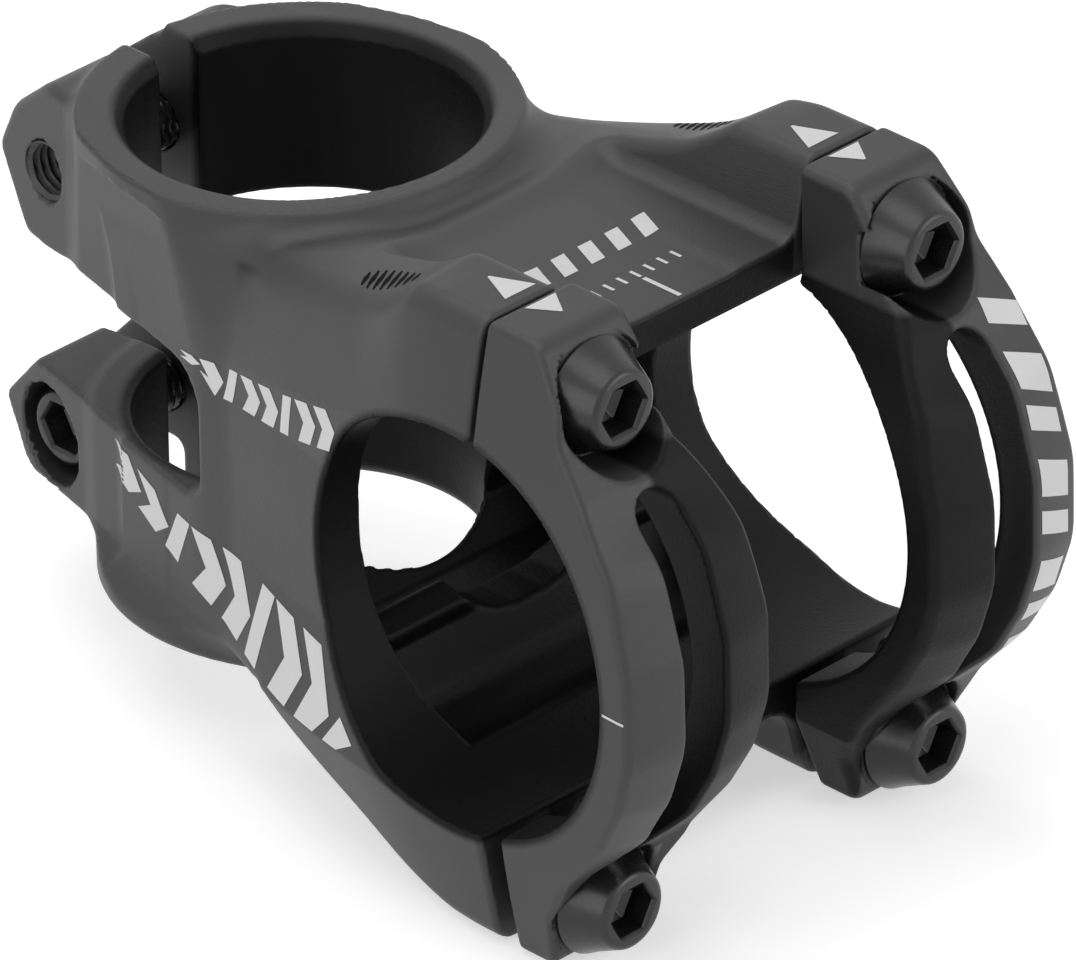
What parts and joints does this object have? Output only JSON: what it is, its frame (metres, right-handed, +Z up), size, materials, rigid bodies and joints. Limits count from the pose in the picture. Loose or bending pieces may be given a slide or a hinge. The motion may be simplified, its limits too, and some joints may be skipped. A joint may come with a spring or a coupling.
{
  "type": "handlebar stem",
  "caption": "Short handlebar stem: split steerer clamp with pinch bolts, windowed beam, and a bar clamp closed by two separate slotted front caps.",
  "frame": {"origin": "on the steerer tube's axis, at half the height of the steerer clamp", "axes": "+Z up along the steerer, -Y forward to the bar, +X to the rider's left along the bar"},
  "size_m": [0.0508, 0.0885, 0.0558],
  "materials": {
    "alloy": "blasted and anodised, matte dark charcoal",
    "screw_steel": "black oxide, satin"
  },
  "bodies": {
    "stem": {"stem_body": "alloy"},
    "cap_right": {"clamp_cap_right": "alloy"},
    "cap_left": {"clamp_cap_left": "alloy"},
    "cap_bolt_upper_right": {"cap_bolt_upper_right": "screw_steel"},
    "cap_bolt_lower_right": {"cap_bolt_lower_right": "screw_steel"},
    "cap_bolt_upper_left": {"cap_bolt_upper_left": "screw_steel"},
    "cap_bolt_lower_left": {"cap_bolt_lower_left": "screw_steel"},
    "pinch_bolt_upper": {"pinch_bolt_upper": "screw_steel"},
    "pinch_bolt_lower": {"pinch_bolt_lower": "screw_steel"}
  },
  "joints": [
    {"name": "cap_right_off", "type": "slide", "parent": "stem", "child": "cap_right", "axis": [0, -1, 0], "range_m": [0, 0.03]},
    {"name": "cap_left_off", "type": "slide", "parent": "stem", "child": "cap_left", "axis": [0, -1, 0], "range_m": [0, 0.03]},
    {"name": "cap_bolt_upper_right_out", "type": "slide", "parent": "cap_right", "child": "cap_bolt_upper_right", "axis": [0, -1, 0], "range_m": [0, 0.025]},
    {"name": "cap_bolt_lower_right_out", "type": "slide", "parent": "cap_right", "child": "cap_bolt_lower_right", "axis": [0, -1, 0], "range_m": [0, 0.025]},
    {"name": "cap_bolt_upper_left_out", "type": "slide", "parent": "cap_left", "child": "cap_bolt_upper_left", "axis": [0, -1, 0], "range_m": [0, 0.025]},
    {"name": "cap_bolt_lower_left_out", "type": "slide", "parent": "cap_left", "child": "cap_bolt_lower_left", "axis": [0, -1, 0], "range_m": [0, 0.025]},
    {"name": "pinch_bolt_upper_out", "type": "slide", "parent": "stem", "child": "pinch_bolt_upper", "axis": [1, 0, 0], "range_m": [0, 0.02]},
    {"name": "pinch_bolt_lower_out", "type": "slide", "parent": "stem", "child": "pinch_bolt_lower", "axis": [-1, 0, 0], "range_m": [0, 0.02]}
  ]
}
